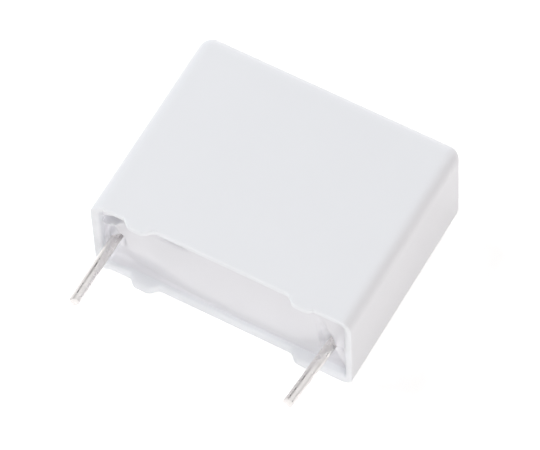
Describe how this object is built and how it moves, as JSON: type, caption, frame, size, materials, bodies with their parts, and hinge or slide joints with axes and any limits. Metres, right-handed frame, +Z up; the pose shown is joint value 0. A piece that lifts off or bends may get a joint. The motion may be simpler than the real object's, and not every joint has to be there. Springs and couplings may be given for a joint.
{
  "type": "box film capacitor",
  "caption": "Film capacitor in a white moulded box, sealed with resin at one end, with round tinned wires and small stand-off feet along its rim.",
  "frame": {"origin": "middle of the broad side that the part lies on, half-way between its two ends and half-way between the feet and the closed end", "axes": "+X along the body from the left wire to the right wire, +Y towards the closed end, so the wires point along -Y, and +Z up through the thickness"},
  "size_m": [0.0264, 0.0279, 0.0107],
  "materials": {
    "case_plastic": "injection-moulded thermoplastic polyester, white, satin",
    "casting_resin": "cast epoxy resin, off-white, smooth",
    "metallised_film": "metallised polypropylene film, wound",
    "sprayed_metal": "zinc and tin, arc-sprayed, rough",
    "tinned_wire": "drawn copper wire, tinned"
  },
  "bodies": {
    "root": {"case": "case_plastic", "potting_resin": "casting_resin", "film_winding": "metallised_film", "left_end_spray": "sprayed_metal", "right_end_spray": "sprayed_metal", "left_lead": "tinned_wire", "right_lead": "tinned_wire"}
  },
  "joints": []
}
